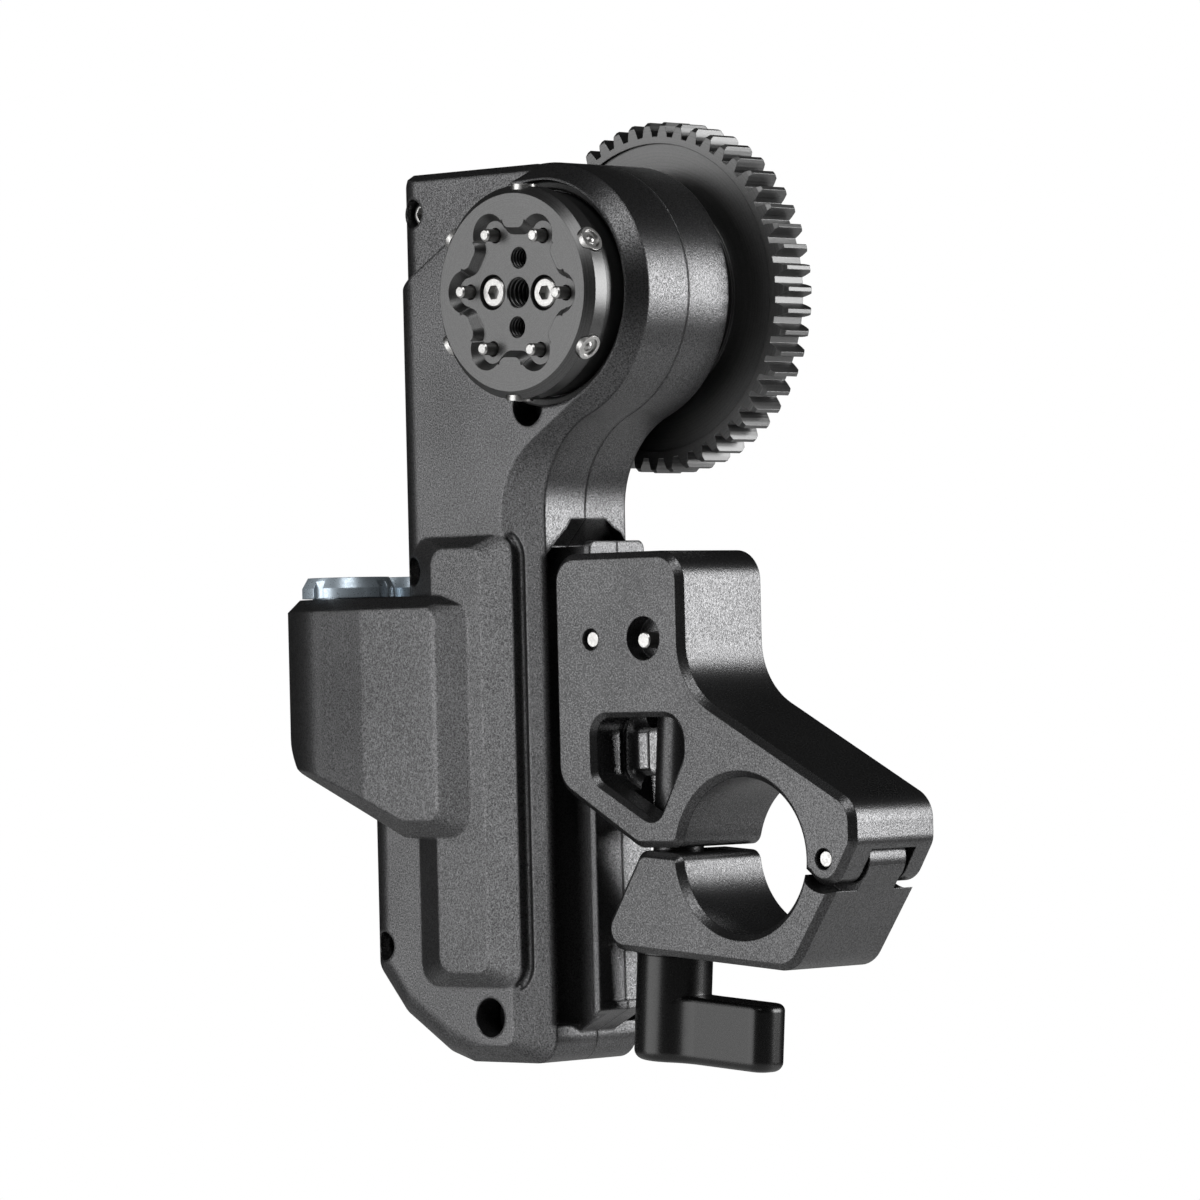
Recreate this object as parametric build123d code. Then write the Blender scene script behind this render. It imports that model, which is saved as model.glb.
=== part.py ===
from build123d import *
import math
import os

os.makedirs("parts", exist_ok=True)

# Lens control motor with a side rail and a hinged clamp for a 19 mm rod.
# Working frame: X right, Y from the front towards the back, Z up, with the drive axis on the Y axis
# and the face of the front drive hub at Y = 0. Every node is moved to the rod clamp's centre on export.

# ---------------------------------------------------------------- driving dimensions, mm
ROD_R = 9.5                       # 19 mm rod bore
BORE_X, BORE_Z = 28.13, -67.05    # rod axis
SPLIT_Y = 14.04                   # joint plane of the two shells, and middle of the clamp
FRONT_Y = 5.0                     # front face of the front shell
SIDE_Y = 7.0                      # where the front edge slopes reach the sides
TOP_STEP_Y = 6.2                  # sunk corner above the drive
HEAD_R = 15.6
OPEN_R = 13.45                    # opening around the hub
LEFT_X, LOW_LEFT_X = -25.1, -31.6
RIGHT_X = -1.95
TOP_Z, BOTTOM_Z = 15.6, -91.5
EDGE_R = 4.0                      # rolled left edges
HUB_R = 12.65
HUB_TURN = -3.4                   # how far the hub stands turned
PIN_PCD_R = 7.75
SHAFT_R = 6.0
GEAR_TEETH, GEAR_M = 51, 0.8
GEAR_R = GEAR_M * (GEAR_TEETH + 2) / 2
GEAR_Y0, GEAR_Y1 = 25.07, 30.11
TRAIN_M, TRAIN_PA = 0.6, 25.0
OUT_T, B_S, B_L, A_S, A_L, C_S, C_L, M_T = 36, 12, 24, 12, 26, 12, 18, 12
RAIL_X0, RAIL_X1 = 2.03, 3.1
RAIL_Y0, RAIL_Y1 = 9.2, 18.88
NECK_Y0, NECK_Y1 = 11.0, 17.08
RAIL_Z0, RAIL_Z1 = -85.2, -29.4
CLAMP_Y0, CLAMP_Y1 = 6.5, 21.58
CLAMP_CH = 0.8
PIN_X, PIN_Z = 40.85, -66.97      # jaw hinge
SWING_X, SWING_Z = 13.67, -41.42  # stud hinge
TILT = 4.27                       # the stud leans this much from vertical
GIB_X, GIB_Z = 5.4, -41.18
JAW_X, JAW_Z = 28.20, -66.25      # centre of the jaw's half bore, tipped past the rod size
STUD_R = 3.0
PORT_X, PORT_Y1, PORT_Y2 = -37.6, 9.4, 21.3
PORT_Z = -35.4

ORIGIN = (BORE_X, SPLIT_Y, BORE_Z)


# ---------------------------------------------------------------- helpers
def to_y(shape, y1):
    """A shape drawn in X, Z on the XY plane and raised along +Z lands with its height along Y."""
    return Rot(90, 0, 0) * (Pos(0, 0, -y1) * shape)


def slab(face, y0, y1, taper=0.0):
    return to_y(extrude(face, amount=y1 - y0, taper=taper), y1)


def poly(pts, radii=None):
    face = make_face(Polyline(*pts, close=True))
    if radii:
        for i, r in enumerate(radii):
            if r:
                p = Vector(pts[i][0], pts[i][1], 0)
                v = min(face.vertices(), key=lambda q: (Vector(q.X, q.Y, q.Z) - p).length)
                face = fillet(v, r) if not isinstance(face, Face) else fillet([v], r)
    return face


def disc(r, x=0.0, z=0.0):
    return Pos(x, z) * Circle(r)


def cyl(r, y0, y1, x=0.0, z=0.0):
    return Pos(x, (y0 + y1) / 2, z) * Rot(90, 0, 0) * Cylinder(r, y1 - y0)


def tube(ro, ri, y0, y1, x=0.0, z=0.0):
    return cyl(ro, y0, y1, x, z) - cyl(ri, y0 - 1, y1 + 1, x, z)


def cone(r0, r1, y0, y1, x=0.0, z=0.0):
    """Radius r0 at y0 and r1 at y1."""
    return Pos(x, (y0 + y1) / 2, z) * Rot(-90, 0, 0) * Cone(r0, r1, y1 - y0)


def box(x0, x1, y0, y1, z0, z1):
    return Pos((x0 + x1) / 2, (y0 + y1) / 2, (z0 + z1) / 2) * Box(x1 - x0, y1 - y0, z1 - z0)


def in_front(p1, p2, p3):
    """Large block in front of the plane through three points."""
    a, b, c = Vector(*p1), Vector(*p2), Vector(*p3)
    n = (b - a).cross(c - a).normalized()
    if n.Y > 0:
        n = n * -1
    return Plane(origin=a, z_dir=n) * Box(400, 400, 60, align=(Align.CENTER, Align.CENTER, Align.MIN))


def bevelled(face, y0, y1, ch, ch_in=0.0):
    """A plate from y0 to y1 whose edges are taken off at 45 degrees on both faces, the edges of a window in it by ch_in."""
    body = slab(face, y0, y1)
    flat = [f for f in body.faces() if abs(f.center().Y - y0) < 0.001 or abs(f.center().Y - y1) < 0.001]
    body = chamfer([e for f in flat for e in f.outer_wire().edges()], ch)
    if ch_in:
        flat = [f for f in body.faces() if abs(f.center().Y - y0) < 0.001 or abs(f.center().Y - y1) < 0.001]
        body = chamfer([e for f in flat for w in f.inner_wires() for e in w.edges()], ch_in)
    return body


def round_at(face, x, z, r):
    """Rounds the corner of a flat outline nearest to x, z."""
    v = min(face.vertices(), key=lambda q: (q.X - x) ** 2 + (q.Y - z) ** 2)
    return fillet([v], r)


def mirror_y(shape):
    return mirror(shape, about=Plane(origin=(0, SPLIT_Y, 0), z_dir=(0, 1, 0)))


def on(ang, r, x=0.0, z=0.0):
    a = math.radians(ang)
    return x + r * math.cos(a), z + r * math.sin(a)


def gear_face(teeth, m, pa, add, ded, thin, phase, n=4):
    """Involute gear outline in straight chords; phase is the angle of a tooth's middle."""
    rp = m * teeth / 2
    rb = rp * math.cos(math.radians(pa))
    ra, rr = rp + add * m, rp - ded * m
    half = math.pi / 2 / teeth - thin / 2 / rp
    inv = lambda t: math.tan(t) - t
    a0 = inv(math.radians(pa))
    r0 = max(rr, rb)
    flank = []
    for i in range(n + 1):
        r = r0 + (ra - r0) * i / n
        t = math.acos(min(1.0, rb / r))
        flank.append((r, half + a0 - inv(t)))
    if rr < rb:
        flank.insert(0, (rr, flank[0][1]))
    pts = []
    for k in range(teeth):
        c = math.radians(phase) + 2 * math.pi * k / teeth
        for r, h in flank:
            pts.append((r * math.cos(c - h), r * math.sin(c - h)))
        for r, h in reversed(flank):
            pts.append((r * math.cos(c + h), r * math.sin(c + h)))
    return make_face(Polyline(*pts, close=True))


def mesh_phase(c1, z1, ph1, c2, z2):
    al = math.degrees(math.atan2(c2[1] - c1[1], c2[0] - c1[0]))
    p1 = 360.0 / z1
    d = (al - ph1) % p1
    return al + 180 + d * z1 / z2 + 180.0 / z2


def train_gear(teeth, c, y0, y1, phase):
    f = gear_face(teeth, TRAIN_M, TRAIN_PA, 0.92, 1.2, 0.07, phase, 3)
    return Pos(c[0], 0, c[1]) * slab(f, y0, y1)


nodes = {}


def keep(name, shape):
    nodes[name] = shape


# ---------------------------------------------------------------- front and rear shells
# Main outline of the lower body; the drive head is a disc joined to it by a concave flank arc.
P_BODY = [(LEFT_X, 13.0), (-22.5, TOP_Z), (RIGHT_X, TOP_Z), (RIGHT_X, BOTTOM_Z),
          (-17.2, BOTTOM_Z), (-19.8, -90.7), (-26.9, -86.2), (LOW_LEFT_X, -80.6), (LOW_LEFT_X, -52.0), (LEFT_X, -45.0)]
FLANK_R = 12.0
FLANK_C = (RIGHT_X + FLANK_R, -math.sqrt((HEAD_R + FLANK_R) ** 2 - (RIGHT_X + FLANK_R) ** 2))
FLANK_T = (FLANK_C[0] * HEAD_R / (HEAD_R + FLANK_R), FLANK_C[1] * HEAD_R / (HEAD_R + FLANK_R))
FACE_R, FACE_X, FACE_LOW = 13.5, -7.35, -89.4      # the same outline on the front face, inside the edge slope


def slope_region():
    """Everything behind the front edge slopes of the head, the flank and the right side."""
    def arc_mid(c, r, a0, a1):
        a = math.radians((a0 + a1) / 2)
        return (c[0] + r * math.cos(a), c[1] + r * math.sin(a))

    # outer outline, where the slopes end
    at = math.degrees(math.atan2(FLANK_T[1], FLANK_T[0]))
    af = math.degrees(math.atan2(FLANK_T[1] - FLANK_C[1], FLANK_T[0] - FLANK_C[0]))
    am = (af + 180.0) / 2 - 6
    pm = (FLANK_C[0] + FLANK_R * math.cos(math.radians(am)), FLANK_C[1] + FLANK_R * math.sin(math.radians(am)))
    outer = [
        Line((-45, HEAD_R), (0, HEAD_R)),
        ThreePointArc((0, HEAD_R), arc_mid((0, 0), HEAD_R, 90, at), FLANK_T),
        ThreePointArc(FLANK_T, arc_mid(FLANK_C, FLANK_R, af, am), pm),
        ThreePointArc(pm, arc_mid(FLANK_C, FLANK_R, am, 180), (RIGHT_X, FLANK_C[1])),
        Line((RIGHT_X, FLANK_C[1]), (RIGHT_X, BOTTOM_Z + 3.2)),
        ThreePointArc((RIGHT_X, BOTTOM_Z + 3.2), (RIGHT_X - 3.2 * (1 - math.sqrt(0.5)), BOTTOM_Z + 3.2 * (1 - math.sqrt(0.5))), (RIGHT_X - 3.2, BOTTOM_Z)),
        Line((RIGHT_X - 3.2, BOTTOM_Z), (-45, BOTTOM_Z)),
        Line((-45, BOTTOM_Z), (-45, HEAD_R)),
    ]
    # inner outline, on the front face
    ai = -56.7
    q = (FACE_R * math.cos(math.radians(ai)), FACE_R * math.sin(math.radians(ai)))
    fr = 10.0
    d = Vector(FACE_X - q[0], -20.7 - q[1], 0).normalized()
    turn = math.acos(max(-1.0, min(1.0, d.Y * -1)))
    back = fr * math.tan(turn / 2)
    f0 = (FACE_X - d.X * back, -20.7 - d.Y * back)
    f1 = (FACE_X, -20.7 - back)
    cx, cz = FACE_X + fr, f1[1]
    mid = Vector(f0[0] - cx, f0[1] - cz, 0).normalized() + Vector(-1, 0, 0)
    mid = mid.normalized()
    inner = [
        Line((-45, FACE_R), (0, FACE_R)),
        ThreePointArc((0, FACE_R), arc_mid((0, 0), FACE_R, 90, ai), q),
        Line(q, f0),
        ThreePointArc(f0, (cx + mid.X * fr, cz + mid.Y * fr), f1),
        Line(f1, (FACE_X, FACE_LOW + 1.5)),
        ThreePointArc((FACE_X, FACE_LOW + 1.5), (FACE_X - 1.5 * (1 - math.sqrt(0.5)), FACE_LOW + 1.5 * (1 - math.sqrt(0.5))), (FACE_X - 1.5, FACE_LOW)),
        Line((FACE_X - 1.5, FACE_LOW), (-45, FACE_LOW)),
        Line((-45, FACE_LOW), (-45, FACE_R)),
    ]
    fo, fi = make_face(outer), make_face(inner)
    return fo, to_y(loft([fo, Pos(0, 0, SIDE_Y - FRONT_Y) * fi], ruled=True), SIDE_Y)


def half_body():
    """One shell's outside, front half, from FRONT_Y to SPLIT_Y."""
    s1 = slab(poly(P_BODY, [0, 0, 0, 3.2, 0, 3.0, 2.0, 2.5, 0, 0]), FRONT_Y, SPLIT_Y)
    e = [q for q in s1.edges() if abs(q.center().Y - FRONT_Y) < 0.01]
    left = [q for q in e if abs(q.center().X - LEFT_X) < 0.01 or abs(q.center().X - LOW_LEFT_X) < 0.01]
    s1 = fillet(left, EDGE_R)
    flank = slab(poly([(-12.0, FLANK_C[1]), (RIGHT_X, FLANK_C[1]), (FLANK_C[0], FLANK_C[1]), FLANK_T, (0, 0), (-12.0, 0)]), FRONT_Y, SPLIT_Y)
    flank -= cyl(FLANK_R, 0, 20, *FLANK_C)
    head = cyl(HEAD_R, FRONT_Y, SPLIT_Y)
    fo, lf = slope_region()
    region = lf + slab(fo, SIDE_Y, SPLIT_Y)
    body = (s1 + flank + head) & region
    body -= in_front((0, FRONT_Y, TOP_Z - 1.6), (-10, FRONT_Y, TOP_Z - 1.6), (0, SIDE_Y, TOP_Z)) & box(-60, 0, -60, 60, 0, 60)
    return body


front_out = half_body()
rear_out = mirror_y(front_out)

# Sunk top-left corner of the front face.
SUNK = [(-2.5, 14.57), (-22.37, 2.63), (-40, -7.96), (-40, 40), (6, 40), (6, 19.67)]
SUNK_R = 3.6
front_out -= slab(poly(SUNK), 0, TOP_STEP_Y)
roll = box(-32, LEFT_X + SUNK_R, 0, TOP_STEP_Y + SUNK_R, -10, 20) - Pos(LEFT_X + SUNK_R, TOP_STEP_Y + SUNK_R, 5) * Cylinder(SUNK_R, 40)
front_out -= roll & slab(poly(SUNK), 0, TOP_STEP_Y + SUNK_R)
front_out -= in_front((0, TOP_STEP_Y, TOP_Z - 0.9), (-10, TOP_STEP_Y, TOP_Z - 0.9), (0, SIDE_Y + 0.1, TOP_Z))

# Raised spine on the front.
sp_base = to_y(Pos(-13.9, -55.4) * RectangleRounded(16.6, 54.2, 2.9), FRONT_Y + 0.7)
sp_top = to_y(Pos(-13.9, -55.3) * RectangleRounded(8.1, 50.8, 2.0), 3.7)
sp_mid = to_y(Pos(-13.9, -55.4) * RectangleRounded(16.6, 54.2, 2.9), FRONT_Y + 0.02)
spine = loft([sp_top.faces()[0], sp_mid.faces()[0]]) + slab(Pos(-13.9, -55.4) * RectangleRounded(16.6, 54.2, 2.9), FRONT_Y, FRONT_Y + 1.2)
# soft groove along the spine's right foot: it lies in the plane of the body's right slope and runs out round the spine's corners
SL = Plane(origin=(FACE_X, FRONT_Y, -55.4), x_dir=Vector(RIGHT_X - FACE_X, SIDE_Y - FRONT_Y, 0).normalized(), z_dir=Vector(2.0, -(RIGHT_X - FACE_X), 0).normalized())
gr, gh, gp = 0.95, 0.5, 3.25
gu = (-5.6 + 0.35 - FACE_X) / math.cos(math.radians(20.3))
cu, cv = gu - gp, 27.1 - 2.9
groove = Pos(gu, 0, gh) * Rot(90, 0, 0) * Cylinder(gr, 2 * cv)
wedge = Pos(0, 0, -5) * extrude(make_face(Polyline((0, 0), (12, 0), (12, 12), close=True)), amount=10)
for sgn in (1, -1):
    turn = Rot(0, 0, 0) if sgn > 0 else Rot(180, 0, 0)
    groove += Pos(cu, sgn * cv, gh) * turn * (Torus(gp, gr) & wedge)
    groove += Pos(cu + gp * math.sqrt(0.5), sgn * (cv + gp * math.sqrt(0.5)), gh) * Sphere(gr)
front_out -= SL * groove
front_out += spine

# Connector block on the left, half on each shell, with a half-round end.
BLK_R, BLK_CX, BLK_CY = 12.8, -36.1, 15.3
blk_profile = make_face([
    Polyline((-9.5, 5.6), (-12.0, 3.65), (-16.3, 2.05), (-28.5, 2.05), (BLK_CX, BLK_CY - BLK_R)),
    ThreePointArc((BLK_CX, BLK_CY - BLK_R), (BLK_CX - BLK_R, BLK_CY), (BLK_CX, BLK_CY + BLK_R)),
    Polyline((BLK_CX, BLK_CY + BLK_R), (-17.0, BLK_CY + BLK_R), (-11.0, 23.0), (-9.5, 22.0), (-9.5, 5.6)),
])
for px, py, pr in ((-16.3, 2.05, 2.6), (-12.0, 3.65, 2.2)):
    v = min(blk_profile.vertices(), key=lambda q: (q.X - px) ** 2 + (q.Y - py) ** 2)
    blk_profile = fillet([v], pr)
blk = Pos(0, 0, -66.0) * extrude(blk_profile, amount=66.0 + PORT_Z)
top_e = [q for q in blk.edges() if abs(q.center().Z - PORT_Z) < 0.01 and q.center().X < -10.0]
try:
    blk = chamfer(top_e, 1.5)
except Exception as err:
    print("block top chamfer left out", err)
# outline of the block: full size behind BLK_Y1, drawn in towards its front face, with rounded corners
BLK_Y0, BLK_Y1 = 2.05, 3.7
o_pts = [(-60, -35.1), (-12.0, -35.1), (-12.0, -64.5), (-23.2, -64.5), (-41.2, -56.5), (-49.0, -48.4), (-60, -48.0)]
i_pts = [(-60, -36.8), (-16.3, -36.8), (-16.3, -62.4), (-22.2, -62.4), (-39.6, -55.2), (-47.4, -47.1), (-60, -46.7)]
o_face, i_face = poly(o_pts, [0, 3.6, 3.6, 3.0, 6.0, 2.0, 0]), poly(i_pts, [0, 1.6, 1.6, 2.5, 5.0, 2.0, 0])
drawn = to_y(loft([o_face, Pos(0, 0, BLK_Y1 - BLK_Y0) * i_face], ruled=True), BLK_Y1)
behind = slab(poly([(-60, -35.1), (-9.4, -35.1), (-9.4, -64.5), (-23.2, -64.5), (-41.2, -56.5), (-49.0, -48.4), (-60, -48.0)], [0, 0, 0, 3.0, 6.0, 2.0, 0]), BLK_Y1, 40)
blk &= drawn + behind
blk_front = blk & box(-70, 0, -5, SPLIT_Y, -80, -20)
blk_rear = blk & box(-70, 0, SPLIT_Y, 40, -80, -20)
front_out += blk_front
rear_out += blk_rear

# Rail recess and rail on the right side; both run through the two shells.
def across(pts, x0, x1):
    """A prism along X over an outline given as (y, z)."""
    face = make_face(Polyline(*pts, close=True))
    return Plane(origin=(x0, 0, 0), x_dir=(0, 1, 0), z_dir=(1, 0, 0)) * extrude(face, amount=x1 - x0)


recess = across([(7.03, -87.0), (7.03, -31.0), (8.73, -29.41), (10.8, -27.69), (11.6, -26.65), (17.45, -26.65), (18.95, -27.69), (20.2, -28.3),
                 (20.95, -29.2), (20.95, -87.0)], -5.5, 3.0)
recess -= slab(poly([(-7.0, -26.0), (RIGHT_X, -26.0), (RIGHT_X, -26.65), (-5.5, -30.4), (-7.0, -30.4)]), 0, 30)
rail = across([(RAIL_Y0, -88.5), (RAIL_Y0, RAIL_Z1), (RAIL_Y1, RAIL_Z1), (RAIL_Y1, -88.5)], RAIL_X0, RAIL_X1)
rail = fillet([q for q in rail.edges() if abs(q.center().Z - RAIL_Z1) < 0.01 and abs(q.center().X - (RAIL_X0 + RAIL_X1) / 2) < 0.01], 1.0)
rail = chamfer([q for q in rail.edges() if abs(q.center().X - RAIL_X1) < 0.01 and q.center().Z > -88], 0.13)
rail += box(-6.0, RAIL_X0 + 0.1, NECK_Y0, NECK_Y1, -88.5, RAIL_Z1 - 0.6)
# sloped lower end, from the rail's face down to the body's side
cut_low = Plane(origin=(RAIL_X1, SPLIT_Y, RAIL_Z0), x_dir=(0, 1, 0), z_dir=Vector(2.3, 0, -4.4).normalized()) * Box(60, 60, 20, align=(Align.CENTER, Align.CENTER, Align.MIN))
rail -= cut_low
# shallow hollow down the rail's face, with a round lower end
ch_r = 33.5
ch = Pos(RAIL_X1 - 0.33 + ch_r, SPLIT_Y, -59.0) * Cylinder(ch_r, 60)
ch &= across([(RAIL_Y0 - 0.2, -84.2), (RAIL_Y0 - 0.2, -33.6), (RAIL_Y1 + 0.2, -33.6), (RAIL_Y1 + 0.2, -84.2)], 1, 6)
rail -= ch
front_out -= recess
rear_out -= recess
front_out += (rail & box(-10, 10, 0, SPLIT_Y, -100, 0)) 
rear_out += (rail & box(-10, 10, SPLIT_Y, 40, -100, 0))

# Cavities. Wall about 1.9 mm; the gear train, motor and board stand inside.
cav_low = poly([(-23.2, -4.0), (-23.2, -46.0), (-29.6, -52.7), (-29.6, -79.8), (-25.6, -84.6), (-19.0, -89.0), (-8.4, -89.0), (-7.4, -88.0),
                (-7.4, -25.6), (-3.6, -22.4), (4.6, -12.4), (0, -4.0)], [0, 0, 0, 0, 0, 0, 0, 0, 0, 0, 0, 0])
cav_front = slab(cav_low, 7.2, SPLIT_Y) + cyl(13.7, 8.4, SPLIT_Y) + slab(poly([(-23.2, -5.0), (-23.2, 12.6), (-22.2, 13.6), (0, 13.6), (0, -5.0)]), 8.4, SPLIT_Y)
cav_rear = slab(cav_low, SPLIT_Y, 20.9) + cyl(13.7, SPLIT_Y, 20.9) + slab(poly([(-23.2, -5.0), (-23.2, 12.6), (-22.2, 13.6), (0, 13.6), (0, -5.0)]), SPLIT_Y, 20.9)
# room for the two connectors in the block
port_area = slab(poly([(-48.0, -37.4), (-48.0, -47.0), (-39.6, -54.4), (-38.5, -54.7), (-28.0, -59.6), (-20.0, -59.6), (-20.0, -37.4)]), 4.2, 26.4)
port_area &= (Pos(BLK_CX, BLK_CY, -48) * Cylinder(11.3, 40) + box(BLK_CX, 0, 4.2, 26.4, -70, -30))
port_room_f = port_area & box(-60, 0, 0, SPLIT_Y, -70, -30)
port_room_r = port_area & box(-60, 0, SPLIT_Y, 30, -70, -30)

B_POS = on(215.0, TRAIN_M * (OUT_T + B_S) / 2)
A_POS = (B_POS[0] - 1.2, B_POS[1] - math.sqrt((TRAIN_M * (B_L + A_S) / 2) ** 2 - 1.2 ** 2))
C_POS = (A_POS[0] - 0.8, A_POS[1] - math.sqrt((TRAIN_M * (A_L + C_S) / 2) ** 2 - 0.8 ** 2))
M_POS = (C_POS[0] - 0.4, C_POS[1] - math.sqrt((TRAIN_M * (C_L + M_T) / 2) ** 2 - 0.4 ** 2))

SCREW_DEEP = [(-10.95, -86.05), (-2.55, -13.3)]
SCREW_SIDE = [(-22.2, 10.9), (-22.2, -32.4), (-28.6, -77.7)]
BOARD_Y0, BOARD_Y1 = 12.6, 13.8
BOARD_HOLES = [(-27.4, -57.5), (-10.6, -55.0), (-21.0, -84.0)]

front_shell = front_out - cav_front - port_room_f
rear_shell = rear_out - cav_rear - port_room_r

# front bearing seat, hub opening, axle and screw bosses in the front shell
front_shell += tube(10.2, 8.99, 7.4, 11.6) + tube(13.9, 8.2, 6.95, 8.4)
front_shell -= cyl(OPEN_R, 0, 6.95)
front_shell -= cyl(8.2, 0, 12)
front_shell -= cyl(9.0, 7.6, 11.61)
for c, r, y1 in ((B_POS, 1.9, 11.6), (A_POS, 1.9, 8.3), (C_POS, 1.9, 8.1)):
    front_shell += cyl(r, 6.96, y1, *c)
    front_shell -= cyl(1.0, 6.8, y1 + 1, *c)
for c in SCREW_DEEP:
    front_shell += cyl(3.0, 7.0, 11.9, *c) + cyl(1.9, 11.8, SPLIT_Y, *c)
    front_shell -= cyl(2.35, 0, 11.0, *c)
    front_shell -= cyl(1.3, 10, 15, *c)
for c in SCREW_SIDE:
    front_shell += (cyl(2.3, 7.5, SPLIT_Y, *c))
    front_shell -= cyl(1.75, 0, 9.0, *c)
    front_shell -= cyl(1.05, 7, 15, *c)
# connector wells in the block's top
for yy in (PORT_Y1,):
    front_shell -= Pos(PORT_X, yy, -36.5) * Cylinder(4.55, 6)
rear_shell -= Pos(PORT_X, PORT_Y2, -36.5) * Cylinder(4.55, 6)
# rear bearing seat and bosses in the rear shell
rear_shell += tube(10.2, 8.99, 17.7, 22.0)
rear_shell -= cyl(8.2, 17, 24)
rear_shell -= cyl(9.0, 17.6, 21.8)
for c, r, y0 in ((B_POS, 2.0, 17.7), (A_POS, 2.0, 14.5), (C_POS, 1.6, 14.3)):
    rear_shell += cyl(r, y0, 21.3, *c)
    rear_shell -= cyl(1.0, y0 - 1, 21.4, *c)
for c in SCREW_DEEP:
    rear_shell += cyl(1.9, SPLIT_Y, 21.3, *c)
    rear_shell -= cyl(1.05, SPLIT_Y - 1, 20.0, *c)
for c in SCREW_SIDE:
    rear_shell += cyl(2.0, SPLIT_Y, 21.3, *c)
    rear_shell -= cyl(0.85, SPLIT_Y - 1, 19.0, *c)
for c in BOARD_HOLES:
    rear_shell += cyl(1.7, BOARD_Y1, 26.4 if c[0] < -26 else 21.3, *c)
    rear_shell -= cyl(0.65, BOARD_Y1 - 1, 18.0, *c)
    front_shell -= cyl(1.9, 9.0, SPLIT_Y + 0.5, *c)
keep("front_shell", front_shell)
keep("rear_shell", rear_shell)

# ---------------------------------------------------------------- shell screws
deep = []
for c in SCREW_DEEP:
    sc = cyl(2.2, 8.6, 10.98, *c) + cyl(1.03, 10.9, 19.8, *c)
    sc -= slab(Pos(*c) * RegularPolygon(1.15, 6), 8.5, 9.9)
    deep.append(chamfer([q for q in sc.edges() if abs(q.center().Y - 8.6) < 0.01 and q.length > 10], 0.3))
keep("deep_screws", Compound(children=deep))
side = []
for c in SCREW_SIDE:
    hd = to_y(Pos(*c) * (Pos(0, 0, 0) * Cylinder(1.55, 0.95, align=(Align.CENTER, Align.CENTER, Align.MIN))), 8.98)
    hd = fillet([q for q in hd.edges() if abs(q.center().Y - 8.03) < 0.01], 0.55)
    hd += cyl(0.83, 8.9, 18.8, *c)
    hd -= slab(Pos(*c) * RegularPolygon(0.9, 6), 7.9, 8.7)
    side.append(hd)
keep("side_screws", Compound(children=side))

# ---------------------------------------------------------------- drive: hub, shaft, bearings, gears
hub = cone(11.7, HUB_R, 0, 1.0) + cyl(HUB_R, 0.99, 3.0) + cyl(12.2, 2.9, 6.6)
# pocket with sloped walls: a disc, a lobe round each pin, a land between two pins
k = 0.7                        # slope of the pocket's wall, mm outwards per mm of depth
D = 1.14
pocket = cone(8.75 + 0.2 * k, 8.75 - D * k, -0.2, D)
for i in range(6):
    pocket += cone(2.55 + 0.2 * k, 2.55 - D * k, -0.2, D, *on(HUB_TURN + 60 * i, PIN_PCD_R))
land = loft([to_y(Pos(10.15, 0) * RectangleRounded(5.0 - 0.4 * k, 3.5 - 0.4 * k, 1.0 - 0.2 * k), -0.2).faces()[0],
             to_y(Pos(10.15, 0) * RectangleRounded(5.0 + 2 * D * k, 3.5 + 2 * D * k, 1.0 + D * k), D).faces()[0]])
for i in range(6):
    pocket -= Rot(0, -(HUB_TURN + 30 + 60 * i), 0) * land
hub -= pocket
for i in range(6):
    hub -= cyl(0.92, 0, 2.2, *on(HUB_TURN + 60 * i, PIN_PCD_R))
    hub -= cyl(0.85, 0, 5.0, *on(HUB_TURN + 60 * i, PIN_PCD_R))
hub -= cyl(1.75, -1, 5.0)
hub -= cone(1.85, 1.75, D - 0.001, D + 0.1)
for a in (HUB_TURN + 90, HUB_TURN - 90):
    hub -= cyl(1.23, 0, 4.4, *on(a, 4.1))
    hub -= cone(1.3, 1.23, D - 0.001, D + 0.07, *on(a, 4.1))
for a in (HUB_TURN, HUB_TURN + 180):
    hub -= cyl(2.1, 0, 3.0, *on(a, 4.15))
    hub -= cyl(1.2, 0, 7.0, *on(a, 4.15))
PL_Y = 1.85                    # middle of the rim's plungers
for i in range(6):
    a = HUB_TURN + 30 + 60 * i
    hub -= Rot(0, -a, 0) * (Pos(11.1, PL_Y, 0) * Rot(0, 90, 0) * Cylinder(1.2, 2.4) + Pos(12.9, PL_Y, 0) * Rot(0, 90, 0) * Cylinder(1.62, 1.6))
hub -= cyl(SHAFT_R + 0.02, 4.6, 7)
keep("drive_hub", hub)

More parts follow.
